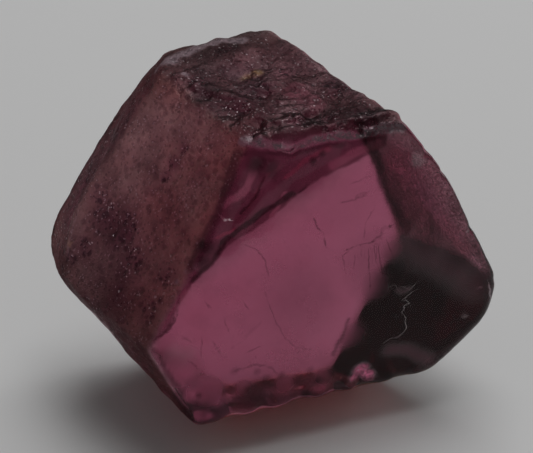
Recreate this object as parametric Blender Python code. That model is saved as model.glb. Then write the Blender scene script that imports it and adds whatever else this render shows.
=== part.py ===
"""Rough rubellite tourmaline: one natural crystal fragment that rests on its flat broken base.

The solid is the space inside a set of flat crystal and broken faces. Each face is stated by the bearing and
tilt of its outward direction and by its distance from a point in the middle of the stone. The edges are worn
round. Pits, hollows and scallops are then sunk into the faces, and ledges, folds and lumps stand out of them.

The front faces -Y, the right side +X, and the stone stands on z = 0.
Sizes in the lists are in millimetres and degrees. A place on the surface is stated as the bearing and tilt
of the line to it from the middle: bearing 0 is +X, bearing -90 is the front, tilt 90 is straight up.
"""
import math

import bmesh
import bpy
import numpy as np

MM = 0.001
NAME = "stone"

# Point inside the stone that faces and places are measured from
MIDDLE = np.array([-0.034, 0.175, 5.50])

# Bearing, tilt and distance of each flat face
FACES = {
    "front": (-70.5, 6, 2.83),
    "left": (-134.5, 32.5, 3.86),
    "top": (-83.5, 79.5, 4.35),
    "chip": (-77.5, 17.5, 3.17),
    "right_shoulder": (34, 35, 4.43),
    "right_side": (33, 23.5, 4.42),
    "right_tip": (24.5, -15, 6.21),
    "right_under": (48, -30.3, 4.63),
    "tip_under": (6.5, -50.5, 6.27),
    "bottom": (0, -90, 5.50),
    "front_under": (-68.5, -62, 5.29),
    "left_foot": (-141.5, -21.5, 5.54),
    "left_under": (-166.5, -47.5, 5.36),
    "left_strip": (-175.5, 34, 5.11),
    "left_heel": (-165.5, 17.5, 5.62),
    "top_rim": (151.5, 84.5, 4.98),
    "rim_corner": (164.5, 41, 5.74),
    "back_left": (110, 14, 4.43),
    "back": (102, -13, 2.84),
    "right_back": (47.5, 5.5, 4.52),
}
EDGE_WEAR = 0.08

# How uneven each face is, next to an ordinary frosted face at 1
UNEVENNESS = {
    "front": 0.2,
    "chip": 1.3,
    "top": 1.6,
    "back": 0.15,
    "right_back": 0.4,
    "right_under": 0.25,
    "front_under": 0.6,
    "bottom": 0,
}
FACE_BLEND = 0.15
LUMP_HEIGHT = 0.035

# Bearing, tilt, radius and depth of each pit on the etched top
TOP_PITS = [
    (-176, 68, 0.45, 0.09),
    (-152, 71, 0.55, 0.10),
    (-133, 75, 0.50, 0.10),
    (161, 88, 0.50, 0.10),
    (10, 84, 0.45, 0.10),
    (51, 73, 0.45, 0.06),
    (34, 62, 0.50, 0.07),
    (12, 60, 0.45, 0.06),
    (-4, 65, 0.55, 0.09),
    (-10, 55, 0.45, 0.06),
    (-105, 71, 0.40, 0.12),
    (-88, 64, 0.35, 0.10),
    (-37, 68, 0.50, 0.14),
    (130, 75, 0.60, 0.08),
]
# The same for the pit clusters on the left side
LEFT_PITS = [
    (-165, 9, 0.50, 0.14),
    (-157, 8, 0.40, 0.10),
    (-172, 12, 0.35, 0.09),
    (-165, 2, 0.35, 0.08),
    (-171, 1, 0.35, 0.08),
    (-159, 41, 0.30, 0.08),
    (-156, 50, 0.30, 0.08),
    (-156, 26, 0.35, 0.05),
    (-128, 20, 0.40, 0.06),
    (-140, -3, 0.45, 0.07),
]
# The same for small chips out of the right edges
RIGHT_CHIPS = [
    (-13, 34, 0.28, 0.05),
    (-10, 25, 0.25, 0.04),
    (-8, 4, 0.28, 0.04),
    (-6, -12, 0.25, 0.05),
    (-17, 38, 0.25, 0.04),
]
# The same for scallops broken out of the lower front edge
FOOT_SCALLOPS = [
    (-118, -38, 0.40, 0.08),
    (-106, -46, 0.55, 0.12),
    (-93, -50, 0.45, 0.10),
    (-73, -52, 0.65, 0.12),
    (-54, -51, 0.50, 0.10),
    (-40, -46, 0.60, 0.14),
    (-27, -42, 0.60, 0.08),
    (-19, -36, 0.40, 0.07),
]
# The same for the broad shallow hollows of the chipped band and of the hidden sides
HOLLOWS = [
    (-98, 43, 1.30, 0.14),
    (-61, 55, 1.00, 0.12),
    (-111, 25, 0.60, 0.10),
    (120, 35, 1.40, 0.12),
    (135, 5, 1.10, 0.10),
    (165, -20, 1.00, 0.10),
]

# Width, height and run of each ledge on the top, along its front edge or its left one, and of a groove
TOP_LEDGES = [
    (0.16, 0.13, [(-95, 64), (-62, 66), (-27, 59), (-13, 49)]),
    (0.14, 0.11, [(-91, 71), (-44, 69), (-15, 58)]),
    (0.16, 0.10, [(172, 66), (-166, 78), (-104, 80)]),
    (0.18, 0.10, [(164, 60), (137, 66), (89, 65)]),
    (0.16, -0.12, [(-74, 61), (-38, 70)]),
]
# The same for the folds that hang across the chipped band like cloth
CHIP_FOLDS = [
    (0.16, 0.09, [(-102, 57), (-110, 43), (-113, 30), (-119, 14)]),
    (0.12, 0.07, [(-90, 56), (-94, 45), (-105, 33)]),
    (0.14, 0.08, [(-45, 55), (-75, 53), (-94, 43), (-106, 29)]),
    (0.12, 0.06, [(-67, 59), (-39, 55)]),
]
# The same for the growth ridges of the left side, its foot and the hidden back
SIDE_RIDGES = [
    (0.25, 0.08, [(167, 44), (178, 23), (-176, 6), (-172, -3)]),
    (0.12, 0.06, [(-163, -11), (-152, -17), (-135, -23)]),
    (0.20, 0.06, [(118, 55), (116, 20), (110, 0)]),
    (0.16, 0.05, [(140, 48), (138, 20), (132, -8)]),
    (0.16, 0.05, [(20, 34), (24, 12), (28, -8)]),
]

# Mesh of the closed surface: the even sphere it starts from and the number of triangles kept
SPHERE_STEPS = 8
TRIANGLES = 8600
REST_SNAP = 0.012

# The stone's own colour
RUBELLITE = (0.30, 0.045, 0.11, 1)
SATIN = 0.25


def direction(bearing, tilt):
    """Unit vector along a bearing and a tilt in degrees."""
    turn = math.radians(bearing)
    rise = math.radians(tilt)
    return np.array([math.cos(rise) * math.cos(turn), math.cos(rise) * math.sin(turn), math.sin(rise)])


def face_normals():
    return np.array([direction(bearing, tilt) for bearing, tilt, _ in FACES.values()])


def face_distances():
    return np.array([distance for _, _, distance in FACES.values()])


def reach(directions):
    """Distance from the middle to the worn surface along each direction.

    A point on the surface has a smooth maximum of nought over all faces. It is closed in on by halving.
    """
    along = directions @ face_normals().T
    distances = face_distances()
    near = np.zeros(len(directions))
    far = np.full(len(directions), 20.0)
    for _ in range(40):
        tried = (near + far) / 2
        beyond = (tried[:, None] * along - distances) / EDGE_WEAR
        most = beyond.max(axis=1)
        outside = most + np.log(np.exp(beyond - most[:, None]).sum(axis=1)) > 0
        far = np.where(outside, tried, far)
        near = np.where(outside, near, tried)
    return near


def place(bearing, tilt):
    """Point of the unmarked surface, measured from the middle."""
    line = direction(bearing, tilt)
    return line * reach(line[None])[0]


def swell(distance, radius):
    """One in the middle, falling smoothly to nought at the radius."""
    return np.clip(1 - (distance / radius) ** 2, 0, 1) ** 2


def distance_to_run(points, run):
    """Distance from each point to a broken line."""
    nearest = np.full(len(points), 100.0)
    for start, end in zip(run, run[1:]):
        leg = end - start
        share = np.clip((points - start) @ leg / (leg @ leg), 0, 1)
        gap = np.linalg.norm(points - start - share[:, None] * leg, axis=1)
        nearest = np.minimum(nearest, gap)
    return nearest


def lumps(points):
    """Slow uneven waves of growth and breakage, between about -1 and 1, bent so that they never line up."""
    x, y, z = points.T
    across = x + 0.9 * np.sin(1.1 * z + 0.4) + 0.6 * np.sin(0.8 * y)
    along = y + 0.9 * np.sin(1.3 * x + 1.1) + 0.5 * np.sin(1.9 * z)
    up = z + 0.8 * np.sin(1.2 * y + 2.0) + 0.6 * np.sin(1.7 * x + 0.3)
    slow = np.sin(1.7 * across + 0.9 * up) * np.sin(1.4 * along - 0.8 * up + 0.6)
    quick = np.sin(2.9 * up + 1.3 * across) * np.sin(2.5 * along - 1.9 * across + 1.1)
    return slow + 0.5 * quick


def unevenness(points):
    """The unevenness of the face that each point lies on, blended across the edges."""
    beyond = (points @ face_normals().T - face_distances()) / FACE_BLEND
    share = np.exp(beyond - beyond.max(axis=1)[:, None])
    share /= share.sum(axis=1)[:, None]
    return share @ np.array([UNEVENNESS.get(name, 1) for name in FACES])


def relief(points):
    """Height of the lumps, ledges and folds, less the depth of the pits, at each point of the surface."""
    height = LUMP_HEIGHT * unevenness(points) * lumps(points)
    for bearing, tilt, radius, depth in TOP_PITS + LEFT_PITS + RIGHT_CHIPS + FOOT_SCALLOPS + HOLLOWS:
        distance = np.linalg.norm(points - place(bearing, tilt), axis=1)
        height -= depth * swell(distance, radius)
    for width, rise, places in TOP_LEDGES + CHIP_FOLDS + SIDE_RIDGES:
        run = [place(bearing, tilt) for bearing, tilt in places]
        height += rise * swell(distance_to_run(points, run), 2 * width)
    return height


def shaped_sphere():
    """The finely divided closed surface, in metres."""
    sphere = bmesh.new()
    bmesh.ops.create_icosphere(sphere, subdivisions=SPHERE_STEPS, radius=1)
    directions = np.array([vertex.co[:] for vertex in sphere.verts])
    directions /= np.linalg.norm(directions, axis=1)[:, None]
    distance = reach(directions)
    distance += relief(directions * distance[:, None])
    surface = MIDDLE + directions * distance[:, None]
    surface[:, 2] = np.maximum(surface[:, 2], 0)
    for vertex, spot in zip(sphere.verts, surface):
        vertex.co = spot * MM
    mesh = bpy.data.meshes.new(NAME)
    sphere.to_mesh(mesh)
    sphere.free()
    return mesh


def thinned(mesh):
    """The same surface with flat parts left to few triangles, and its base made exactly flat."""
    draft = bpy.data.objects.new("draft", mesh)
    bpy.context.scene.collection.objects.link(draft)
    thinner = draft.modifiers.new("thinner", "DECIMATE")
    thinner.ratio = TRIANGLES / len(mesh.polygons)
    thinner.use_collapse_triangulate = True
    bpy.context.view_layer.update()
    finished = bpy.data.meshes.new_from_object(draft.evaluated_get(bpy.context.evaluated_depsgraph_get()))
    bpy.data.objects.remove(draft)
    for vertex in finished.vertices:
        if vertex.co.z < REST_SNAP * MM:
            vertex.co.z = 0
    finished.name = NAME
    return finished


def tourmaline():
    """Clear deep pink crystal."""
    material = bpy.data.materials.new("rubellite")
    material.use_nodes = True
    surface = material.node_tree.nodes["Principled BSDF"]
    surface.inputs["Base Color"].default_value = RUBELLITE
    surface.inputs["Roughness"].default_value = SATIN
    surface.inputs["Transmission Weight"].default_value = 1
    surface.inputs["IOR"].default_value = 1.63
    return material


def build():
    for old in list(bpy.data.objects):
        bpy.data.objects.remove(old)
    mesh = thinned(shaped_sphere())
    mesh.polygons.foreach_set("use_smooth", [False] * len(mesh.polygons))
    mesh.materials.clear()
    mesh.materials.append(tourmaline())
    stone = bpy.data.objects.new(NAME, mesh)
    bpy.context.scene.collection.objects.link(stone)


build()
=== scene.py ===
"""The look of the rough rubellite tourmaline: etched skin, clear broken front and inner colour.

The dressed stone has the same faces, ledges and pits as the solid, with finer etching worked over them.
Lengths in the lists are in millimetres, angles in degrees. A place on the surface is stated as the bearing
and tilt of the line to it from the middle: bearing 0 is +X, bearing -90 is the front, tilt 90 is straight up.
"""
import math

import bpy
import numpy as np
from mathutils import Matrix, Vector


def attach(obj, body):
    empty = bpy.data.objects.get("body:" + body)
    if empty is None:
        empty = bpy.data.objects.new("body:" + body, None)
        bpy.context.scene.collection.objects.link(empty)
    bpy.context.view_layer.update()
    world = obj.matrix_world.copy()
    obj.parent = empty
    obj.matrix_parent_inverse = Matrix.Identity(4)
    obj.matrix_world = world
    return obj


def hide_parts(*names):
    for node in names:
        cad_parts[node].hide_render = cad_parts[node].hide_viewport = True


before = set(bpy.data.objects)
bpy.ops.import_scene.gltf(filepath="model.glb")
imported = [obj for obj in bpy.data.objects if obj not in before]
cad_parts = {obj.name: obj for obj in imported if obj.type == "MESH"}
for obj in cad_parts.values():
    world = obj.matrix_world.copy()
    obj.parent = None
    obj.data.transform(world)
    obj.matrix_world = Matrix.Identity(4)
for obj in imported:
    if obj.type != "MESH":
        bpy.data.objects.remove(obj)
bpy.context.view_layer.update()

MM = 0.001

# Point inside the stone that faces and places are measured from
MIDDLE = np.array([-0.034, 0.175, 5.50])

# Bearing, tilt and distance of each flat face
FACES = {
    "front": (-70.5, 6, 2.83),
    "left": (-134.5, 32.5, 3.86),
    "top": (-83.5, 79.5, 4.35),
    "chip": (-77.5, 17.5, 3.17),
    "right_shoulder": (34, 35, 4.43),
    "right_side": (33, 23.5, 4.42),
    "right_tip": (24.5, -15, 6.21),
    "right_under": (48, -30.3, 4.63),
    "tip_under": (6.5, -50.5, 6.27),
    "bottom": (0, -90, 5.50),
    "front_under": (-68.5, -62, 5.29),
    "left_foot": (-141.5, -21.5, 5.54),
    "left_under": (-166.5, -47.5, 5.36),
    "left_strip": (-175.5, 34, 5.11),
    "left_heel": (-165.5, 17.5, 5.62),
    "top_rim": (151.5, 84.5, 4.98),
    "rim_corner": (164.5, 41, 5.74),
    "back_left": (110, 14, 4.43),
    "back": (102, -13, 2.84),
    "right_back": (47.5, 5.5, 4.52),
}
EDGE_WEAR = 0.08

# How uneven each face is, next to an ordinary frosted face at 1
UNEVENNESS = {
    "front": 0.2,
    "chip": 1.3,
    "top": 1.6,
    "back": 0.15,
    "right_back": 0.4,
    "right_under": 0.25,
    "front_under": 0.6,
    "bottom": 0,
}
# Width over which one face turns into the next, for the shape and for what is painted on it
FACE_BLEND = 0.15
SHARP_BLEND = FACE_BLEND / 3
LUMP_HEIGHT = 0.035
# Where the search for the surface starts, and how often it halves its range
FARTHEST = 20.0
HALVINGS = 34

# Bearing, tilt, radius and depth of each pit on the etched top
TOP_PITS = [
    (-176, 68, 0.45, 0.09),
    (-152, 71, 0.55, 0.10),
    (-133, 75, 0.50, 0.10),
    (161, 88, 0.50, 0.10),
    (10, 84, 0.45, 0.10),
    (51, 73, 0.45, 0.06),
    (34, 62, 0.50, 0.07),
    (12, 60, 0.45, 0.06),
    (-4, 65, 0.55, 0.09),
    (-10, 55, 0.45, 0.06),
    (-105, 71, 0.40, 0.12),
    (-88, 64, 0.35, 0.10),
    (-37, 68, 0.50, 0.14),
    (130, 75, 0.60, 0.08),
]
# The same for the pit clusters on the left side
LEFT_PITS = [
    (-165, 9, 0.50, 0.14),
    (-157, 8, 0.40, 0.10),
    (-172, 12, 0.35, 0.09),
    (-165, 2, 0.35, 0.08),
    (-171, 1, 0.35, 0.08),
    (-159, 41, 0.30, 0.08),
    (-156, 50, 0.30, 0.08),
    (-156, 26, 0.35, 0.05),
    (-128, 20, 0.40, 0.06),
    (-140, -3, 0.45, 0.07),
]
# The same for small chips out of the right edges
RIGHT_CHIPS = [
    (-13, 34, 0.28, 0.05),
    (-10, 25, 0.25, 0.04),
    (-8, 4, 0.28, 0.04),
    (-6, -12, 0.25, 0.05),
    (-17, 38, 0.25, 0.04),
]
# The same for scallops broken out of the lower front edge
FOOT_SCALLOPS = [
    (-118, -38, 0.40, 0.08),
    (-106, -46, 0.55, 0.12),
    (-93, -50, 0.45, 0.10),
    (-73, -52, 0.65, 0.12),
    (-54, -51, 0.50, 0.10),
    (-40, -46, 0.60, 0.14),
    (-27, -42, 0.60, 0.08),
    (-19, -36, 0.40, 0.07),
]
# The same for the broad shallow hollows of the chipped band and of the hidden sides
HOLLOWS = [
    (-98, 43, 1.30, 0.14),
    (-61, 55, 1.00, 0.12),
    (-111, 25, 0.60, 0.10),
    (120, 35, 1.40, 0.12),
    (135, 5, 1.10, 0.10),
    (165, -20, 1.00, 0.10),
]

# Width, height and run of each ledge on the top, along its front edge or its left one, and of a groove
TOP_LEDGES = [
    (0.16, 0.13, [(-95, 64), (-62, 66), (-27, 59), (-13, 49)]),
    (0.14, 0.11, [(-91, 71), (-44, 69), (-15, 58)]),
    (0.16, 0.10, [(172, 66), (-166, 78), (-104, 80)]),
    (0.18, 0.10, [(164, 60), (137, 66), (89, 65)]),
    (0.16, -0.12, [(-74, 61), (-38, 70)]),
]
# The same for the folds that hang across the chipped band like cloth
CHIP_FOLDS = [
    (0.16, 0.09, [(-102, 57), (-110, 43), (-113, 30), (-119, 14)]),
    (0.12, 0.07, [(-90, 56), (-94, 45), (-105, 33)]),
    (0.14, 0.08, [(-45, 55), (-75, 53), (-94, 43), (-106, 29)]),
    (0.12, 0.06, [(-67, 59), (-39, 55)]),
]
# The same for the growth ridges of the left side, its foot and the hidden back
SIDE_RIDGES = [
    (0.25, 0.08, [(167, 44), (178, 23), (-176, 6), (-172, -3)]),
    (0.12, 0.06, [(-163, -11), (-152, -17), (-135, -23)]),
    (0.20, 0.06, [(118, 55), (116, 20), (110, 0)]),
    (0.16, 0.05, [(140, 48), (138, 20), (132, -8)]),
    (0.16, 0.05, [(20, 34), (24, 12), (28, -8)]),
]

# How frosted each face is: 0 is a fresh glassy break, 1 is fully etched
FROST = {
    "front": 0.0,
    "chip": 0.2,
    "top": 0.65,
    "back": 0.2,
    "right_back": 0.9,
    "right_under": 0.05,
    "tip_under": 0.6,
    "front_under": 0.5,
    "left_foot": 0.7,
    "left_under": 0.15,
    "bottom": 0.8,
}
# How much of each face an opaque skin of dust and etched grains covers
COVER = {
    "front": 0,
    "chip": 0.1,
    "left": 0.35,
    "left_strip": 0.6,
    "left_heel": 0.6,
    "left_foot": 0.5,
    "top": 0.5,
    "top_rim": 0.6,
    "rim_corner": 0.6,
    "right_shoulder": 0.1,
    "right_side": 0.05,
    "right_tip": 0.5,
    "right_back": 0.4,
    "tip_under": 0.5,
    "front_under": 0.2,
}
# How deep the fine etching of each face is, next to an ordinary frosted face at 1
ETCHING = {
    "front": 0.03,
    "chip": 0.8,
    "top": 3.0,
    "top_rim": 2.0,
    "back": 0,
    "right_shoulder": 0.4,
    "right_side": 0.3,
    "right_tip": 0.3,
    "right_back": 0.3,
    "right_under": 0,
    "left_under": 0,
    "bottom": 0,
}
ETCH_DEPTH = 0.016
# Size of the rounded bumps and of the sharp ridges of the etching, and the level of the ridges' crests
ROUNDED_SIZE = 0.45
RIDGED_SIZE = 0.32
RIDGE_LEVEL = 0.6
# The low broken steps of the etched top: how many there are to the unevenness, how high, how large their
# patches are, and how drawn out
TERRACES = {"top": 1, "top_rim": 0.5}
STEPS_UP = 2.5
STEP_HEIGHT = 0.03
STEP_PATCH = 1.2
STEP_STRETCH = np.array([0.4, 1, 1])
# Spacing and depth of the small and of the larger etch pits, and a pit's radius as a share of the spacing
ETCH_PITS = [(0.20, 0.035), (0.38, 0.05)]
ETCH_PIT_RADIUS = 0.55
# How much of each face the etch pits cover, and how much of a face that isn't listed
PLAIN_PITTING = 0.25
PITTING = {
    "front": 0,
    "chip": 0.1,
    "left": 0.45,
    "left_strip": 0.6,
    "left_heel": 0.6,
    "left_foot": 0.5,
    "top": 0.5,
    "top_rim": 0.4,
    "back": 0,
    "right_back": 0.1,
    "right_under": 0,
    "left_under": 0,
    "bottom": 0,
}

# Tint that each face's skin gives to the light that passes it: brown on the etched ones, orange underneath
BROWN_SKIN = (0.35, 0.215, 0.18)
FACE_TINTS = {
    "front": (1.0, 0.96, 0.98),
    "chip": (0.10, 0.05, 0.07),
    "top": (0.095, 0.045, 0.050),
    "top_rim": (0.095, 0.050, 0.052),
    "rim_corner": (0.20, 0.10, 0.10),
    "back": (1.0, 0.92, 0.92),
    "back_left": (1.0, 0.80, 0.74),
    "left_strip": (0.16, 0.05, 0.06),
    "left_heel": (0.16, 0.06, 0.06),
    "right_shoulder": (0.80, 0.50, 0.52),
    "right_side": (0.80, 0.36, 0.44),
    "right_tip": (0.20, 0.06, 0.09),
    "right_back": (0.50, 0.30, 0.30),
    "right_under": (0.25, 0.18, 0.18),
    "tip_under": (0.06, 0.025, 0.03),
    "front_under": (1.0, 0.48, 0.28),
    "left_foot": (0.12, 0.06, 0.05),
    "left_under": (0.45, 0.22, 0.20),
    "bottom": (1.0, 0.48, 0.28),
}
# How strongly the tint varies over a face, from patch to patch, and over a face that isn't listed
PLAIN_MOTTLING = 0.4
MOTTLING = {
    "front": 0.12,
    "chip": 0.25,
    "right_side": 0.4,
    "right_shoulder": 0.4,
    "right_back": 0.25,
    "back_left": 0.2,
    "back": 0,
    "right_under": 0,
    "left_under": 0,
    "bottom": 0,
}

# Marks on the seen side. Their places are pixels across and down the photograph, their sizes millimetres.
# Outline of the dark chipped band between the worn faces and the clear front
BAND_OUTLINE = [
    (236, 150), (262, 150), (300, 147), (345, 139), (385, 130), (384, 146), (368, 155),
    (348, 165), (320, 177), (304, 190), (280, 209), (256, 229), (226, 246), (214, 262),
    (194, 279), (178, 306), (170, 328), (150, 345), (168, 300), (190, 255), (215, 200),
]
BAND_SOFTNESS = 0.10
# Half width, strength and run of each thin crack in the clear front
CRACKS = [
    (0.024, 0.55, [(246, 245), (257, 250), (265, 260), (268, 274)]),
    (0.022, 0.45, [(265, 293), (274, 317), (284, 337), (295, 347), (311, 350)]),
    (0.024, 0.75, [(314, 219), (318, 228), (323, 233), (326, 245)]),
    (0.030, 0.65, [(343, 202), (352, 200), (364, 196)]),
    (0.024, 0.60, [(357, 195), (366, 192)]),
    (0.022, 0.40, [(353, 183), (370, 176)]),
    (0.022, 0.50, [(364, 237), (366, 222), (373, 210)]),
    (0.050, 0.90, [(372, 243), (380, 237), (384, 228), (390, 226)]),
    (0.024, 0.80, [(347, 250), (353, 247), (362, 244), (372, 243)]),
    (0.018, 0.60, [(361, 245), (361, 255)]),
    (0.020, 0.75, [(368, 252), (369, 268), (370, 287)]),
    (0.018, 0.60, [(374, 246), (376, 262)]),
    (0.020, 0.75, [(379, 247), (380, 260), (382, 272)]),
    (0.018, 0.60, [(387, 241), (390, 249), (393, 256)]),
    (0.020, 0.55, [(351, 249), (343, 256), (345, 272)]),
    (0.018, 0.45, [(355, 256), (354, 268)]),
    (0.040, 0.50, [(236, 371), (250, 366), (263, 365), (273, 368), (280, 379)]),
    (0.022, 0.55, [(202, 340), (201, 354)]),
    (0.022, 0.45, [(224, 318), (228, 330)]),
    (0.022, 0.45, [(248, 352), (259, 347)]),
    (0.035, 0.45, [(182, 337), (189, 341)]),
    (0.035, 0.45, [(214, 344), (219, 352)]),
    (0.035, 0.40, [(233, 347), (240, 343)]),
    (0.030, 0.50, [(207, 304), (210, 307)]),
    (0.030, 0.50, [(245, 304), (247, 307)]),
    (0.030, 0.45, [(190, 362), (196, 367)]),
    (0.040, 0.90, [(179, 298), (177, 314), (169, 329), (156, 339)]),
    (0.035, 0.90, [(281, 152), (288, 149), (295, 147)]),
]
# The same for pale cracks, and for painted highlights along glinting edges
PALE_CRACKS_AND_EDGE_HIGHLIGHTS = [
    (0.013, 0.12, [(387, 289), (391, 286), (397, 285), (396, 290), (403, 286), (409, 290), (414, 285)]),
    (0.013, 0.16, [(412, 292), (404, 299), (409, 303), (403, 306), (405, 309), (401, 312)]),
    (0.013, 0.19, [(401, 312), (406, 317), (405, 322), (407, 327), (405, 331)]),
    (0.013, 0.15, [(405, 331), (400, 335), (397, 338), (391, 338), (387, 341)]),
    (0.028, 0.90, [(222, 217), (225, 220), (229, 220)]),
    (0.022, 0.50, [(283, 151), (292, 150), (299, 145)]),
    (0.025, 0.55, [(54, 273), (75, 296), (98, 320), (120, 343)]),
    (0.030, 0.14, [(127, 108), (102, 162), (84, 200), (71, 242), (69, 256)]),
    (0.030, 0.40, [(489, 284), (491, 300), (489, 312)]),
]
# The same for broader dark streaks and folds, and for painted shade along the lower front edge
DARK_STROKES_AND_PAINTED_SHADE = [
    (0.07, 0.10, [(246, 339), (261, 323)]),
    (0.09, 0.5, [(334, 354), (345, 329), (348, 319)]),
    (0.14, 0.85, [(292, 196), (264, 211), (241, 228), (224, 242), (214, 262), (193, 281)]),
    (0.24, 0.5, [(236, 152), (224, 193), (207, 238), (190, 266)]),
    (0.08, 0.7, [(266, 178), (254, 196), (240, 212)]),
    (0.12, 0.5, [(238, 153), (262, 156), (300, 153), (345, 143)]),
    (0.09, 0.7, [(307, 186), (299, 195)]),
    (0.20, 0.6, [(376, 155), (385, 187), (395, 212), (406, 230)]),
    (0.42, 0.55, [(180, 398), (196, 415), (215, 416), (240, 404), (268, 400)]),
    (0.26, 0.50, [(268, 400), (300, 400), (335, 396)]),
    (0.16, 0.45, [(152, 352), (170, 378), (188, 402)]),
]
# The same for highlights painted pale along the folds of the chipped band, and for thin red ones: red
# highlights painted along its folds, and wine-red streaks on the left strip and the top
FOLD_HIGHLIGHTS = [
    (0.15, 1.0, [(253, 174), (247, 187), (237, 197), (224, 205)]),
    (0.10, 0.9, [(285, 195), (278, 208), (272, 217)]),
    (0.22, 0.9, [(378, 146), (352, 154), (335, 166)]),
    (0.14, 0.7, [(186, 292), (172, 312), (160, 330)]),
]
FOLD_HIGHLIGHT_TINT = (0.34, 0.19, 0.23)
RED_HIGHLIGHTS_AND_STREAKS = [
    (0.06, 0.7, [(295, 158), (270, 173), (257, 190), (246, 207)]),
    (0.07, 0.7, [(218, 237), (235, 228)]),
    (0.10, 0.6, [(330, 150), (305, 163), (288, 178)]),
    (0.26, 0.5, [(84, 180), (74, 204), (67, 226)]),
    (0.50, 0.3, [(296, 92), (314, 102)]),
]
RED_HIGHLIGHT_AND_STREAK_TINT = (0.30, 0.07, 0.11)
# Pixel place, radius and strength of each dark patch: dark spots of the skin and the chipped band, and
# painted shade along the lower front edge and at its left tip
DARK_BLOTS_AND_PAINTED_SHADE = [
    (257, 165, 0.50, 0.9),
    (270, 170, 0.40, 0.7),
    (315, 161, 0.16, 0.9),
    (324, 156, 0.16, 0.8),
    (206, 247, 0.45, 1.0),
    (204, 261, 0.40, 0.9),
    (161, 300, 0.15, 0.7),
    (198, 395, 0.18, 0.8),
    (204, 414, 0.45, 0.7),
    (228, 407, 0.30, 0.9),
    (252, 390, 0.34, 0.5),
    (236, 372, 0.20, 0.3),
    (258, 372, 0.16, 0.4),
    (266, 380, 0.24, 0.5),
    (311, 369, 0.20, 0.4),
    (282, 375, 0.22, 0.5),
    (297, 381, 0.30, 0.6),
    (305, 398, 0.32, 1.0),
    (322, 399, 0.35, 1.0),
    (318, 379, 0.25, 0.7),
    (334, 370, 0.25, 0.6),
    (345, 380, 0.22, 0.8),
    (388, 376, 0.30, 0.8),
    (205, 92, 0.75, 0.55),
    (252, 88, 0.80, 0.55),
    (228, 50, 0.70, 0.45),
    (200, 72, 0.50, 0.35),
    (340, 84, 0.70, 0.50),
    (366, 117, 0.80, 0.55),
    (310, 122, 0.60, 0.55),
]
# The same for broad patches of painted shade: lower on the left face, on the top, along the lower front edge,
# over the dark corner and to the right of the clear front
PAINTED_SHADE_PATCHES = [
    (100, 290, 3.20, 0.42),
    (112, 232, 1.50, 0.52),
    (150, 250, 2.20, 0.20),
    (375, 265, 1.70, 0.30),
    (300, 300, 2.20, 0.24),
    (345, 205, 1.60, 0.08),
    (200, 410, 1.00, 0.60),
    (262, 392, 0.80, 0.55),
    (320, 388, 0.80, 0.45),
    (428, 242, 0.80, 0.40),
    (458, 257, 0.80, 0.40),
    (485, 282, 0.80, 0.45),
    (350, 122, 1.30, 0.32),
    (235, 105, 1.00, 0.32),
]
# Pixel place, radius and roughness of each hazy part of the clear front, which blurs what is seen through it
HAZES = [
    (182, 366, 1.30, 0.55),
    (205, 392, 1.00, 0.55),
    (165, 345, 0.80, 0.45),
    (245, 388, 0.60, 0.42),
    (285, 384, 0.60, 0.42),
    (325, 376, 0.60, 0.42),
    (392, 250, 0.80, 0.40),
    (375, 285, 1.00, 0.42),
    (352, 335, 0.90, 0.42),
]
# Pixel place, radius and strength of each cluster of small dark pits on the etched faces
PIT_CLUSTERS = [
    (86, 181, 0.50, 0.8),
    (104, 218, 0.85, 1.0),
    (122, 232, 0.95, 1.0),
    (100, 196, 0.60, 0.7),
    (84, 248, 0.60, 0.9),
    (130, 262, 0.80, 0.7),
    (166, 176, 0.35, 0.9),
    (173, 163, 0.40, 1.0),
    (182, 150, 0.32, 0.9),
    (64, 222, 0.45, 0.7),
    (70, 258, 0.40, 0.8),
    (165, 275, 0.60, 0.6),
    (120, 300, 0.80, 0.5),
    (150, 310, 0.70, 0.6),
    (238, 105, 0.60, 1.0),
    (254, 90, 0.70, 1.0),
    (338, 86, 0.60, 1.0),
    (197, 83, 0.50, 1.0),
    (300, 124, 0.60, 1.0),
    (330, 124, 0.60, 1.0),
    (365, 122, 0.60, 1.0),
    (257, 133, 0.40, 0.9),
    (286, 72, 0.50, 0.8),
    (225, 50, 0.50, 0.8),
]
# The same for powdery white bruises and glints
BRUISES = [
    (172, 60, 0.40, 0.9),
    (184, 54, 0.36, 0.8),
    (157, 70, 0.18, 1.0),
    (185, 75, 0.14, 0.7),
    (246, 139, 0.26, 1.0),
    (267, 147, 0.14, 0.9),
    (380, 132, 0.18, 1.0),
    (182, 355, 0.70, 0.07),
    (234, 70, 0.50, 0.10),
    (418, 160, 0.34, 0.20),
    (197, 243, 0.06, 0.8),
    (175, 281, 0.12, 0.6),
    (184, 272, 0.10, 0.6),
    (467, 315, 0.06, 0.7),
    (479, 288, 0.06, 0.5),
    (428, 316, 0.05, 0.5),
    (469, 232, 0.06, 0.6),
]
# Half width, strength and run of the bruised edges of the top
BRUISED_RUNS = [
    (0.20, 0.85, [(242, 139), (265, 145), (292, 146), (315, 141), (341, 136), (376, 131), (403, 128)]),
    (0.28, 0.50, [(165, 62), (180, 56), (205, 46), (222, 42), (242, 41)]),
]
BRUISE_TINT = (0.36, 0.28, 0.31)
# The pink sparkle in the lower front edge
SPARKLES = [(362, 371, 0.34, 1.0), (369, 377, 0.30, 1.0), (356, 378, 0.24, 0.8)]
SPARKLE_TINT = (1.0, 0.28, 0.48)
# Half width, strength and run of each dull pink veil in the dark corner and along the lower edge
VEILS = [
    (0.90, 0.06, [(408, 246), (440, 262), (476, 284)]),
    (0.36, 0.07, [(388, 350), (408, 350), (430, 361)]),
    (0.28, 0.08, [(316, 389), (332, 384), (350, 390)]),
    (0.14, 0.06, [(397, 290), (402, 294), (408, 289)]),
]
VEIL_TINT = (0.85, 0.20, 0.34)
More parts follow.
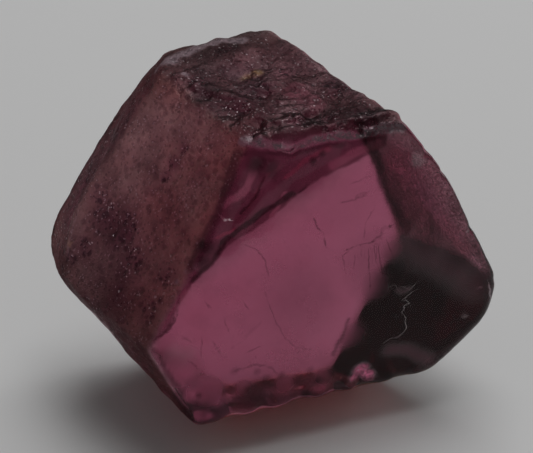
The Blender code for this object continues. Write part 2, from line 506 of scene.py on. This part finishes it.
# The golden stains on the top and on the left edge
STAINS = [(256, 71, 0.28, 0.85), (245, 73, 0.24, 0.7), (70, 243, 0.16, 0.8), (67, 249, 0.14, 0.7)]
STAIN_TINT = (0.45, 0.31, 0.12)
# Near black of the dark marks and of the painted shade
DARK_TINT = (0.006, 0.003, 0.004)
# The wine red that shows where etch pits crowd, and how much of the tint it takes over there
WINE_TINT = (0.12, 0.045, 0.06)
WINE_SHARE = 0.75
# How many times a mark's tint is as strong as its mask, up to the full tint
BRUISE_TINT_GAIN = 2
VEIL_TINT_GAIN = 8
SPARKLE_TINT_GAIN = 4
# How far a soft mark is raised before it is cut off at its strength, which makes its middle even
EVEN_MIDDLE = 1.8
# How far the marks waver from their drawn places, and over what length
WAVER = 0.06
WAVER_SIZE = 0.5
WAVER_SHIFTS = (0, 40, 80)
# How much the frost varies where the stone isn't glassy, and the size of its patches
FROST_VARIATION = 0.2
FROST_PATCH = 0.6
# Usual level of the powder on bruises and sparkles, how much it varies, and the size of its patches
POWDER_LEVEL = 0.9
POWDER_VARIATION = 0.8
POWDER_PATCH = 0.3
# Reach of the soft margin around a thin crack, in millimetres, and the most half widths its masks hold
CRACK_MARGIN = 0.25
WIDEST_SIDE = 8

# How strongly the crystal bends light, the share that a millimetre of it takes out for red, green and blue,
# and the share of the body's density that its most absorbed colour takes
REFRACTION = 1.63
ABSORPTION = np.array([0.13, 0.37, 0.268])
STRONGEST_SHARE = 0.9
MUTED_GLOSS = (0.25, 0.25, 0.25, 1)
# Tint of each kind of fine mark, in the order in which they lie over each other
MARK_TINTS = {
    "dark_dips": (0.025, 0.012, 0.015, 1),
    "pits": (0.025, 0.012, 0.015, 1),
    "cracks": (0.05, 0.02, 0.03, 1),
    "pale": (0.75, 0.60, 0.64, 1),
    "glints": (0.95, 0.88, 0.90, 1),
}
# Grains to the metre of the skin's fine grain, whose dips are darkened, of its patches, of what shakes the
# spots, and of the cracks' bends and breaks
FINE_GRAINS = 12000
PATCH_GRAINS = 1800
SHAKE_GRAINS = 9000
WANDER_GRAINS = 5000
BREAK_GRAINS = 2600
# How far the spots are shaken and how high the finest relief is, in metres
SHAKE = 0.00012
BUMP_HEIGHT = 0.00005
# Number to the metre, radius and rarity of both kinds of tiny pits, and of both kinds of glints
PIT_SPOTS = [(3800, 0.24, 0.3), (7500, 0.22, 0.4)]
GLINT_SPOTS = [(12000, 0.20, 0.62), (5000, 0.11, 0.66)]
RARITY_STEP = 0.05
# What goes into each ramp, from the low to the high value, and what comes out at those two
PATCH_RAMP = (0.42, 0.62, 0.15, 1)
DIP_DARKENING_RAMP = (0.35, 0.60, 0.6, 0)
POWDER_RAMP = (0.38, 0.56, 0.45, 1)
DUST_RAMP = (0.3, 1, 0.2, 1)
CRACK_RAMP = (0.6, 1.4, 1, 0)
WANDER_RAMP = (0.3, 0.7, -1.2, 1.2)
BREAK_RAMP = (0.40, 0.54, 0.3, 1)
ROUGH_RAMP = (0, 1, 0.03, 0.75)
ROUGH_GRAIN_RAMP = (0.35, 0.65, 0.65, 1.2)
GLINT_GLOSS_RAMP = (0, 1, 1, 0.5)
BUMP_RAMP = (0.3, 0.9, 0.002, 1)

# Fine mesh of the surface: divisions of each side of the cube it starts from, and how it crowds to the front
DIVISIONS = 124
CROWDING = 0.35
CROWD_TOWARDS = np.array([0, -0.85, 0.53])

# The photograph's camera and frame
CAMERA_LENS = 100
SENSOR_WIDTH = 36
CAMERA_RISE = 32
CAMERA_DISTANCE = 44.417
CAMERA_AIM = np.array([-0.089, 0.175, 5.473])
PHOTO_WIDTH = 533
PHOTO_HEIGHT = 453

# The pale floor: half its width in metres, and its gap below the stone in millimetres
FLOOR_HALF_WIDTH = 0.6
FLOOR_GAP = 0.02
FLOOR_TINT = (0.75, 0.75, 0.75, 1)
FLOOR_ROUGHNESS = 0.8
# The grey light of the room, and the place and width in metres and the power in watts of each soft light
ROOM_TINT = (0.5, 0.5, 0.5, 1)
ROOM_STRENGTH = 0.23
LIGHTS = {
    "soft_overhead": ((0.03, 0.09, 0.26), 0.2, 0.39),
    "low_back": ((0.20, 0.15, 0.05), 0.16, 0.07),
}


def direction(bearing, tilt):
    """Unit vector along a bearing and a tilt in degrees."""
    turn = math.radians(bearing)
    rise = math.radians(tilt)
    return np.array([math.cos(rise) * math.cos(turn), math.cos(rise) * math.sin(turn), math.sin(rise)])


NORMALS = np.array([direction(bearing, tilt) for bearing, tilt, _ in FACES.values()])
DISTANCES = np.array([distance for _, _, distance in FACES.values()])


def reach(directions):
    """Distance from the middle to the worn surface along each direction, closed in on by halving."""
    along = directions @ NORMALS.T
    near = np.zeros(len(directions))
    far = np.full(len(directions), FARTHEST)
    for _ in range(HALVINGS):
        tried = (near + far) / 2
        beyond = (tried[:, None] * along - DISTANCES) / EDGE_WEAR
        most = beyond.max(axis=1)
        outside = most + np.log(np.exp(beyond - most[:, None]).sum(axis=1)) > 0
        far = np.where(outside, tried, far)
        near = np.where(outside, near, tried)
    return near


def place(bearing, tilt):
    """Point of the unmarked surface, measured from the middle."""
    line = direction(bearing, tilt)
    return line * reach(line[None])[0]


def seen_at(across, down):
    """Point of the unmarked surface, measured from the middle, that the camera sees at a pixel."""
    back = direction(-90, CAMERA_RISE)
    up = direction(90, 90 - CAMERA_RISE)
    eye = CAMERA_AIM + CAMERA_DISTANCE * back - MIDDLE
    focal = CAMERA_LENS / SENSOR_WIDTH * PHOTO_WIDTH
    line = np.array([across - PHOTO_WIDTH / 2, 0, 0]) - (down - PHOTO_HEIGHT / 2) * up - focal * back
    facing = NORMALS @ line < 0
    return eye + line * ((DISTANCES - NORMALS @ eye)[facing] / (NORMALS @ line)[facing]).max()


def swell(distance, radius):
    """One in the middle, falling smoothly to nought at the radius."""
    return np.clip(1 - (distance / radius) ** 2, 0, 1) ** 2


def distance_to_run(points, run):
    """Distance from each point to a broken line."""
    nearest = np.full(len(points), 100.0)
    for start, end in zip(run, run[1:]):
        leg = end - start
        share = np.clip((points - start) @ leg / (leg @ leg), 0, 1)
        gap = np.linalg.norm(points - start - share[:, None] * leg, axis=1)
        nearest = np.minimum(nearest, gap)
    return nearest


def lumps(points):
    """Slow uneven waves of growth and breakage, between about -1 and 1, bent so that they never line up."""
    x, y, z = points.T
    across = x + 0.9 * np.sin(1.1 * z + 0.4) + 0.6 * np.sin(0.8 * y)
    along = y + 0.9 * np.sin(1.3 * x + 1.1) + 0.5 * np.sin(1.9 * z)
    up = z + 0.8 * np.sin(1.2 * y + 2.0) + 0.6 * np.sin(1.7 * x + 0.3)
    slow = np.sin(1.7 * across + 0.9 * up) * np.sin(1.4 * along - 0.8 * up + 0.6)
    quick = np.sin(2.9 * up + 1.3 * across) * np.sin(2.5 * along - 1.9 * across + 1.1)
    return slow + 0.5 * quick


def face_shares(points, blend):
    """How much of each point belongs to each face, blended across the edges."""
    beyond = (points @ NORMALS.T - DISTANCES) / blend
    share = np.exp(beyond - beyond.max(axis=1)[:, None])
    return share / share.sum(axis=1)[:, None]


def by_face(shares, values, otherwise=1.0):
    """One number for each point, from a number for each face."""
    return shares @ np.array([values.get(name, otherwise) for name in FACES])


def relief(points, shares):
    """Height of the lumps, ledges and folds, less the depth of the pits, at each point of the surface."""
    height = LUMP_HEIGHT * by_face(shares, UNEVENNESS) * lumps(points)
    for bearing, tilt, radius, depth in TOP_PITS + LEFT_PITS + RIGHT_CHIPS + FOOT_SCALLOPS + HOLLOWS:
        distance = np.linalg.norm(points - place(bearing, tilt), axis=1)
        height -= depth * swell(distance, radius)
    for width, rise, places in TOP_LEDGES + CHIP_FOLDS + SIDE_RIDGES:
        run = [place(bearing, tilt) for bearing, tilt in places]
        height += rise * swell(distance_to_run(points, run), 2 * width)
    return height


def lattice_value(corner):
    """Repeatable number between 0 and 1 for each whole-number corner of a lattice."""
    mixed = np.sin(corner @ np.array([12.9898, 78.233, 37.719])) * 43758.5453
    return mixed - np.floor(mixed)


def noise(points, size):
    """Smooth noise between -1 and 1 whose grains are about size across."""
    scaled = points / size
    corner = np.floor(scaled)
    part = scaled - corner
    part = part * part * (3 - 2 * part)
    total = np.zeros(len(points))
    for step in np.ndindex(2, 2, 2):
        step = np.array(step)
        weight = np.prod(np.where(step == 1, part, 1 - part), axis=1)
        total += weight * lattice_value(corner + step)
    return 2 * total - 1


def grain(points, size, layers=3):
    """Noise of several sizes added up, each half as large and half as strong as the last."""
    total = np.zeros(len(points))
    for layer in range(layers):
        total += noise(points + 7.3 * layer, size / 2 ** layer) / 2 ** layer
    return total


def nearest_seed(points, spacing):
    """Distance to the nearest of many scattered seeds, as a share of their spacing."""
    scaled = points / spacing
    corner = np.floor(scaled)
    nearest = np.full(len(points), 9.0)
    for step in np.ndindex(3, 3, 3):
        cell = corner + np.array(step) - 1
        seed = cell + np.stack([lattice_value(cell + shift) for shift in (0.0, 17.0, 43.0)], axis=1)
        nearest = np.minimum(nearest, np.linalg.norm(scaled - seed, axis=1))
    return nearest


def etching(points, shares):
    """Fine height of the etched skin, with the sharp little ridges that etching leaves."""
    rounded = grain(points, ROUNDED_SIZE)
    ridged = RIDGE_LEVEL - np.abs(grain(points + 31.0, RIDGED_SIZE))
    return ETCH_DEPTH * by_face(shares, ETCHING) * (rounded + ridged)


def terraces(points, shares):
    """Height of the low broken steps: each is flat for three quarters of its width and then rises."""
    climb = STEPS_UP * grain(points * STEP_STRETCH, STEP_PATCH)
    step = np.floor(climb)
    return STEP_HEIGHT * by_face(shares, TERRACES, 0) * (step + np.clip(4 * (climb - step) - 3, 0, 1))


def etch_pits(points, clusters):
    """Depth of the crowded etch pits at each point, deepest where a cluster is strongest."""
    depth = np.zeros(len(points))
    for spacing, deepest in ETCH_PITS:
        depth += deepest * swell(nearest_seed(points, spacing), ETCH_PIT_RADIUS)
    return depth * clusters


def cube_sphere():
    """Directions and four-sided faces of a cube grid blown up to a sphere."""
    steps = np.tan((np.arange(DIVISIONS + 1) / DIVISIONS * 2 - 1) * math.pi / 4)
    across, up = np.meshgrid(steps, steps, indexing="ij")
    across, up = across.ravel(), up.ravel()
    one = np.ones_like(across)
    sides = [
        (one, across, up),
        (-one, up, across),
        (up, one, across),
        (across, -one, up),
        (across, up, one),
        (up, across, -one),
    ]
    corners = np.concatenate([np.stack(side, axis=1) for side in sides])
    row = DIVISIONS + 1
    first = (np.arange(DIVISIONS)[:, None] * row + np.arange(DIVISIONS)).ravel()
    quad = np.stack([first, first + row, first + row + 1, first + 1], axis=1)
    quads = np.concatenate([quad + side * row * row for side in range(6)])
    _, keep, merged = np.unique(np.round(corners, 9), axis=0, return_index=True, return_inverse=True)
    directions = corners[keep]
    directions /= np.linalg.norm(directions, axis=1)[:, None]
    return directions, merged.ravel()[quads]


def crowded(directions):
    """The same directions drawn towards the front, so that it has the finer mesh."""
    heading = CROWD_TOWARDS / np.linalg.norm(CROWD_TOWARDS)
    moved = directions + CROWDING * heading
    return moved / np.linalg.norm(moved, axis=1)[:, None]


def add_values(mesh, name, values):
    """A number for each point of the mesh, which its material reads by name."""
    kept = mesh.attributes.new(name, "FLOAT", "POINT")
    kept.data.foreach_set("value", values.astype(np.float32))


def add_tints(mesh, tints):
    colours = mesh.attributes.new("tint", "FLOAT_COLOR", "POINT")
    opaque = np.concatenate([np.clip(tints, 0, 1), np.ones((len(tints), 1))], axis=1)
    colours.data.foreach_set("color", opaque.ravel().astype(np.float32))


def blots(points, marks):
    """Strongest of several round marks at each point."""
    strongest = np.zeros(len(points))
    for across, down, radius, strength in marks:
        distance = np.linalg.norm(points - seen_at(across, down), axis=1)
        strongest = np.maximum(strongest, strength * swell(distance, radius))
    return strongest


def soft_strokes(points, marks):
    """Strongest of several long marks at each point, each fading from its middle to its edges."""
    strongest = np.zeros(len(points))
    for half_width, strength, places in marks:
        distance = distance_to_run(points, [seen_at(across, down) for across, down in places])
        strongest = np.maximum(strongest, strength * swell(distance, half_width))
    return strongest


def strokes(points, marks):
    """The same for marks that are even across their middle, with soft edges."""
    strongest = np.zeros(len(points))
    for mark in marks:
        _, strength, _ = mark
        strongest = np.maximum(strongest, np.minimum(EVEN_MIDDLE * soft_strokes(points, [mark]), strength))
    return strongest


def crack_masks(points, marks):
    """How far each point lies to one side of the nearest thin line, in its half widths, and how strong that
    is. The lines are cracks, and on the pale list also painted highlights along edges.

    The side is measured across the line of sight, so that a crack stays whole where it crosses a worn edge.
    """
    sight = direction(-90, CAMERA_RISE)
    flat = points - (points @ sight)[:, None] * sight
    nearest = np.full(len(points), 100.0)
    side = np.full(len(points), float(WIDEST_SIDE))
    level = np.zeros(len(points))
    for half_width, strength, places in marks:
        run = np.array([seen_at(across, down) for across, down in places])
        flat_run = run - (run @ sight)[:, None] * sight
        margin = strength * np.sqrt(swell(distance_to_run(points, run), CRACK_MARGIN))
        for start, end in zip(flat_run, flat_run[1:]):
            leg = end - start
            share = np.clip((flat - start) @ leg / (leg @ leg), 0, 1)
            offset = flat - start - share[:, None] * leg
            gap = np.linalg.norm(offset, axis=1)
            closer = gap < nearest
            side = np.where(closer, np.copysign(gap, offset @ np.cross(leg, sight)) / half_width, side)
            level = np.where(closer, margin, level)
            nearest = np.minimum(nearest, gap)
    return np.clip(side, -WIDEST_SIDE, WIDEST_SIDE), level


def within(points, outline, softness):
    """One inside an outline that the camera sees on the front, falling to nought just outside it."""
    corners = np.array([seen_at(across, down) for across, down in outline + outline[:1]])
    level = np.array([1, 0, 0]) - NORMALS[0] * NORMALS[0][0]
    level /= np.linalg.norm(level)
    axes = np.stack([level, np.cross(NORMALS[0], level)], axis=1)
    flat, ring = points @ axes, corners @ axes
    inside = np.zeros(len(points), dtype=bool)
    for start, end in zip(ring, ring[1:]):
        spans = (start[1] > flat[:, 1]) != (end[1] > flat[:, 1])
        rise = np.where(spans, end[1] - start[1], 1)
        inside ^= spans & (flat[:, 0] < start[0] + (flat[:, 1] - start[1]) * (end[0] - start[0]) / rise)
    gap = distance_to_run(flat, ring)
    return np.where(inside, 1, swell(gap, softness))


def towards(colours, share, tint):
    """Colours drawn towards a tint. They mix as square roots, which is what a clear surface lets through."""
    roots = np.sqrt(np.clip(colours, 0, 1))
    return (roots + share[:, None] * (np.sqrt(tint) - roots)) ** 2


def skin_tints(points, sharp_shares, wavy, band):
    """The tint of the skin at each point: its face's own, mottled, under the marks of the seen side, painted
    shade and painted highlights among them.
    """
    tints = sharp_shares @ np.array([FACE_TINTS.get(name, BROWN_SKIN) for name in FACES])
    tints = towards(tints, band, FACE_TINTS["chip"])
    tints = tints * mottling(points, by_face(sharp_shares, MOTTLING, PLAIN_MOTTLING))
    tints = towards(tints, WINE_SHARE * blots(wavy, PIT_CLUSTERS), WINE_TINT)
    # Broad patches of painted shade
    tints = towards(tints, blots(wavy, PAINTED_SHADE_PATCHES), DARK_TINT)
    # Highlights painted along the folds, pale and then red, with the wine-red streaks
    tints = towards(tints, strokes(wavy, FOLD_HIGHLIGHTS), FOLD_HIGHLIGHT_TINT)
    tints = towards(tints, strokes(wavy, RED_HIGHLIGHTS_AND_STREAKS), RED_HIGHLIGHT_AND_STREAK_TINT)
    # Dark streaks, folds and spots, with the painted shade of the lower front edge
    tints = towards(tints, dark_marks_and_painted_shade(wavy), DARK_TINT)
    tints = towards(tints, blots(wavy, STAINS), STAIN_TINT)
    tints = towards(tints, np.minimum(BRUISE_TINT_GAIN * bruising(wavy), 1), BRUISE_TINT)
    tints = towards(tints, np.minimum(VEIL_TINT_GAIN * soft_strokes(wavy, VEILS), 1), VEIL_TINT)
    return towards(tints, np.minimum(SPARKLE_TINT_GAIN * blots(wavy, SPARKLES), 1), SPARKLE_TINT)


def mottling(points, patches):
    """Factors on red, green and blue that make the tint lighter, darker and redder from patch to patch."""
    brightness = 1 + patches * (grain(points, 0.9) + 0.5 * grain(points + 5.0, 0.3))
    redness = 1 + 0.5 * patches * grain(points + 11.0, 1.3)
    return np.stack([brightness, brightness * redness, brightness * redness], axis=1)


def bruising(points):
    return np.maximum(blots(points, BRUISES), strokes(points, BRUISED_RUNS))


# Dark streaks, folds and spots, together with painted shade along the lower front edge
def dark_marks_and_painted_shade(points):
    return np.maximum(blots(points, DARK_BLOTS_AND_PAINTED_SHADE), strokes(points, DARK_STROKES_AND_PAINTED_SHADE))


def frosting(points, sharp_shares, band):
    """How frosted each point is: patchy on the etched faces, even on the glassy ones."""
    glassy = by_face(sharp_shares, {"front": 1, "right_under": 1, "left_under": 1}, 0) * (1 - band)
    frost = by_face(sharp_shares, FROST) + FROST_VARIATION * grain(points, FROST_PATCH) * (1 - glassy)
    return np.clip(np.maximum(frost, FROST["chip"] * band), 0, 1)


def powdering(points, wavy):
    """How strongly each point is whitened by bruises or lit by the sparkle."""
    powder = np.clip(POWDER_LEVEL + POWDER_VARIATION * grain(points, POWDER_PATCH), 0, 1)
    return np.maximum(bruising(wavy), blots(wavy, SPARKLES)) * powder


def add_masks(mesh, points, wavy, clusters):
    """The masks that the material reads by name, and the tint."""
    sharp_shares = face_shares(points, SHARP_BLEND)
    band = within(wavy, BAND_OUTLINE, BAND_SOFTNESS) * by_face(sharp_shares, {"front": 1, "chip": 1}, 0)
    add_values(mesh, "frost", frosting(points, sharp_shares, band))
    add_values(mesh, "haze", blots(wavy, HAZES))
    add_values(mesh, "cover", by_face(sharp_shares, COVER, 0))
    add_values(mesh, "veil", soft_strokes(wavy, VEILS))
    add_values(mesh, "pitted", np.clip(clusters, 0, 1))
    add_values(mesh, "bright", powdering(points, wavy))
    # The pale lines hold pale cracks and painted highlights along edges
    for name, marks in (("crack", CRACKS), ("pale", PALE_CRACKS_AND_EDGE_HIGHLIGHTS)):
        side, level = crack_masks(points, marks)
        add_values(mesh, name + "_side", side)
        add_values(mesh, name, level)
    add_tints(mesh, skin_tints(points, sharp_shares, wavy, band))


def make_stone():
    """The dressed stone as one closed mesh, with the masks that its material reads."""
    directions, quads = cube_sphere()
    directions = crowded(directions)
    distance = reach(directions)
    points = directions * distance[:, None]
    shares = face_shares(points, FACE_BLEND)
    wavy = points + WAVER * np.stack([grain(points + shift, WAVER_SIZE) for shift in WAVER_SHIFTS], axis=1)
    crowding = np.minimum(EVEN_MIDDLE * blots(wavy, PIT_CLUSTERS), 1)
    clusters = np.maximum(crowding, by_face(shares, PITTING, PLAIN_PITTING))
    pits = etch_pits(points, clusters)
    height = relief(points, shares) + etching(points, shares) + terraces(points, shares) - pits
    surface = MIDDLE + directions * (distance + height)[:, None]
    surface[:, 2] = np.maximum(surface[:, 2], 0)
    mesh = bpy.data.meshes.new("crystal")
    mesh.from_pydata((surface * MM).tolist(), [], quads.tolist())
    mesh.update()
    mesh.polygons.foreach_set("use_smooth", [True] * len(mesh.polygons))
    add_masks(mesh, points, wavy, clusters)
    stone = bpy.data.objects.new("crystal", mesh)
    bpy.context.scene.collection.objects.link(stone)
    return stone


def add_node(tree, kind, inputs=(), **settings):
    """A node with its settings, its inputs set to values or linked from sockets."""
    node = tree.nodes.new(kind)
    for name, value in settings.items():
        setattr(node, name, value)
    for name, value in dict(inputs).items():
        if isinstance(value, bpy.types.NodeSocket):
            tree.links.new(value, node.inputs[name])
        else:
            node.inputs[name].default_value = value
    return node


def mask_value(tree, name):
    return add_node(tree, "ShaderNodeAttribute", attribute_name=name).outputs["Fac"]


def math_node(tree, operation, first, second):
    return add_node(tree, "ShaderNodeMath", {0: first, 1: second}, operation=operation).outputs[0]


def ramp(tree, value, low, high, start, end):
    """value between low and high taken to the range from start to end, and held there outside it."""
    settings = {"Value": value, "From Min": low, "From Max": high, "To Min": start, "To Max": end}
    return add_node(tree, "ShaderNodeMapRange", settings).outputs["Result"]


def noise_value(tree, spot, scale):
    """Uneven value between 0 and 1, about scale grains to the metre."""
    settings = {"Vector": spot, "Scale": scale, "Detail": 4, "Roughness": 0.6}
    return add_node(tree, "ShaderNodeTexNoise", settings).outputs["Fac"]


def mix_colour(tree, share, first, second):
    node = add_node(tree, "ShaderNodeMix", data_type="RGBA")
    for name, value in (("Factor", share), ("A", first), ("B", second)):
        socket = [s for s in node.inputs if s.name == name and (s.type == "RGBA" or name == "Factor")][0]
        if isinstance(value, bpy.types.NodeSocket):
            tree.links.new(value, socket)
        else:
            socket.default_value = value
    return [s for s in node.outputs if s.type == "RGBA"][0]


def spots(tree, spot, scale, radius, rarity):
    """Small round spots, scale to the metre: radius is a share of their spacing, rarity leaves some out."""
    cells = add_node(tree, "ShaderNodeTexVoronoi", {"Vector": spot, "Scale": scale})
    share = ramp(tree, cells.outputs["Distance"], radius, 2 * radius, 1, 0)
    kept = ramp(tree, cells.outputs["Color"], rarity, rarity + RARITY_STEP, 0, 1)
    return math_node(tree, "MULTIPLY", share, kept)


def either_spots(tree, spot, kinds):
    """The stronger of two kinds of spots."""
    first, second = [spots(tree, spot, *kind) for kind in kinds]
    return math_node(tree, "MAXIMUM", first, second)


def shaken(tree, spot):
    """The same place moved a little at random, so that round spots turn ragged."""
    jitter = add_node(tree, "ShaderNodeTexNoise", {"Vector": spot, "Scale": SHAKE_GRAINS}).outputs["Color"]
    settings = {0: jitter, 1: (SHAKE, SHAKE, SHAKE), 2: spot}
    return add_node(tree, "ShaderNodeVectorMath", settings, operation="MULTIPLY_ADD").outputs["Vector"]


def crack_share(tree, name, wander, broken):
    """How much of a point a thin crack covers, and on the pale lines also a thin painted highlight. Its line
    wanders from side to side, and fades in places.
    """
    side = math_node(tree, "ADD", mask_value(tree, name + "_side"), wander)
    line = ramp(tree, math_node(tree, "ABSOLUTE", side, 0), *CRACK_RAMP)
    return math_node(tree, "MULTIPLY", math_node(tree, "MULTIPLY", line, broken), mask_value(tree, name))


def skin_masks(tree):
    """Where the skin is frosted, darker in the dips of its fine grain, pitted, powdery, glinting or cracked,
    as sockets by name.
    """
    spot = add_node(tree, "ShaderNodeTexCoord").outputs["Object"]
    frost = mask_value(tree, "frost")
    pitted = mask_value(tree, "pitted")
    grains = noise_value(tree, spot, FINE_GRAINS)
    patches = ramp(tree, noise_value(tree, spot, PATCH_GRAINS), *PATCH_RAMP)
    patchy = math_node(tree, "MULTIPLY", patches, frost)
    ragged = shaken(tree, spot)
    bright = math_node(tree, "MULTIPLY", mask_value(tree, "bright"), ramp(tree, grains, *POWDER_RAMP))
    dusted = math_node(tree, "MULTIPLY", patchy, ramp(tree, pitted, *DUST_RAMP))
    glinting = math_node(tree, "MAXIMUM", dusted, bright)
    wander = ramp(tree, noise_value(tree, spot, WANDER_GRAINS), *WANDER_RAMP)
    broken = ramp(tree, noise_value(tree, spot, BREAK_GRAINS), *BREAK_RAMP)
    return {
        "frost": frost,
        "grains": grains,
        "bright": bright,
        # Darker in the dips of the fine grain, on the frosted patches
        "dark_dips": math_node(tree, "MULTIPLY", ramp(tree, grains, *DIP_DARKENING_RAMP), patchy),
        "pits": math_node(tree, "MULTIPLY", either_spots(tree, ragged, PIT_SPOTS), pitted),
        "glints": math_node(tree, "MULTIPLY", either_spots(tree, ragged, GLINT_SPOTS), glinting),
        "cracks": crack_share(tree, "crack", wander, broken),
        "pale": crack_share(tree, "pale", wander, broken),
    }


def set_colour(tree, surface, masks):
    """The tint, darkened in pits and cracks and lightened on pale cracks and glints."""
    colour = add_node(tree, "ShaderNodeAttribute", attribute_name="tint").outputs["Color"]
    for name, tint in MARK_TINTS.items():
        colour = mix_colour(tree, masks[name], colour, tint)
    tree.links.new(colour, surface.inputs["Base Color"])


def set_cover(tree, surface, masks):
    """Opaque where dust, powder, veils, pale cracks or glints lie, and clear elsewhere."""
    share = masks["glints"]
    for other in (masks["pale"], masks["bright"], mask_value(tree, "veil"), mask_value(tree, "cover")):
        share = math_node(tree, "MAXIMUM", share, other)
    tree.links.new(share, surface.inputs["Metallic"])


def set_roughness(tree, surface, masks):
    """Rough where the skin is frosted, less so on glints, and blurred where the clear front is hazy."""
    even = ramp(tree, masks["frost"], *ROUGH_RAMP)
    rough = math_node(tree, "MULTIPLY", even, ramp(tree, masks["grains"], *ROUGH_GRAIN_RAMP))
    dulled = math_node(tree, "MULTIPLY", rough, ramp(tree, masks["glints"], *GLINT_GLOSS_RAMP))
    tree.links.new(math_node(tree, "MAXIMUM", dulled, mask_value(tree, "haze")), surface.inputs["Roughness"])


def set_bump(tree, surface, masks):
    """The finest grain and the smallest pits, which the mesh doesn't hold."""
    fine_height = math_node(tree, "SUBTRACT", masks["grains"], masks["pits"])
    bump = add_node(tree, "ShaderNodeBump", {"Height": fine_height, "Distance": BUMP_HEIGHT})
    tree.links.new(ramp(tree, masks["frost"], *BUMP_RAMP), bump.inputs["Strength"])
    tree.links.new(bump.outputs["Normal"], surface.inputs["Normal"])


def add_absorption(tree):
    """The pink of the crystal itself, which deepens with the distance that light goes through it."""
    per_metre = ABSORPTION / MM
    density = per_metre.max() / STRONGEST_SHARE
    body = add_node(tree, "ShaderNodeVolumeAbsorption", {"Density": float(density)})
    body.inputs["Color"].default_value = (*(1 - per_metre / density), 1)
    tree.links.new(body.outputs[0], tree.nodes["Material Output"].inputs["Volume"])


def tourmaline():
    """Clear pink crystal that absorbs light, under an etched skin with roughness and colour by masks."""
    material = bpy.data.materials.new("rubellite")
    material.use_nodes = True
    tree = material.node_tree
    surface = tree.nodes["Principled BSDF"]
    surface.inputs["Transmission Weight"].default_value = 1
    surface.inputs["IOR"].default_value = REFRACTION
    surface.inputs["Specular Tint"].default_value = MUTED_GLOSS
    masks = skin_masks(tree)
    set_colour(tree, surface, masks)
    set_cover(tree, surface, masks)
    set_roughness(tree, surface, masks)
    set_bump(tree, surface, masks)
    add_absorption(tree)
    return material


def make_floor():
    """Wide pale table top, a hair below the stone's base so that the two flat faces don't coincide."""
    half = FLOOR_HALF_WIDTH
    level = -FLOOR_GAP * MM
    corners = [(-half, -half, level), (half, -half, level), (half, half, level), (-half, half, level)]
    mesh = bpy.data.meshes.new("floor")
    mesh.from_pydata(corners, [], [(0, 1, 2, 3)])
    material = bpy.data.materials.new("floor")
    material.use_nodes = True
    surface = material.node_tree.nodes["Principled BSDF"]
    surface.inputs["Base Color"].default_value = FLOOR_TINT
    surface.inputs["Roughness"].default_value = FLOOR_ROUGHNESS
    mesh.materials.append(material)
    floor = bpy.data.objects.new("floor", mesh)
    bpy.context.scene.collection.objects.link(floor)


def make_camera():
    """The photograph's view: a long lens a little above the stone."""
    rise = math.radians(CAMERA_RISE)
    back = Vector((0, -math.cos(rise), math.sin(rise)))
    lens = bpy.data.cameras.new("camera")
    lens.lens = CAMERA_LENS
    lens.clip_start = MM
    camera = bpy.data.objects.new("camera", lens)
    bpy.context.scene.collection.objects.link(camera)
    camera.location = (Vector(CAMERA_AIM) + back * CAMERA_DISTANCE) * MM
    camera.rotation_euler = (-back).to_track_quat("-Z", "Y").to_euler()
    bpy.context.scene.camera = camera


def make_light(name, location, size, watts):
    """A square soft light aimed at the stone."""
    lamp = bpy.data.lights.new(name, "AREA")
    lamp.shape = "SQUARE"
    lamp.size = size
    lamp.energy = watts
    light = bpy.data.objects.new(name, lamp)
    bpy.context.scene.collection.objects.link(light)
    light.location = location
    light.rotation_euler = (-Vector(location)).to_track_quat("-Z", "Y").to_euler()


def make_room():
    """Even grey light from all round, and the two soft lights."""
    world = bpy.data.worlds.new("room")
    world.use_nodes = True
    bpy.context.scene.world = world
    sky = world.node_tree.nodes["Background"]
    sky.inputs["Color"].default_value = ROOM_TINT
    sky.inputs["Strength"].default_value = ROOM_STRENGTH
    for name, (location, size, watts) in LIGHTS.items():
        make_light(name, location, size, watts)
    bpy.context.scene.view_settings.view_transform = "Standard"


crystal = make_stone()
crystal.data.materials.append(tourmaline())
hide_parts("stone")
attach(crystal, "root")
make_floor()
make_camera()
make_room()
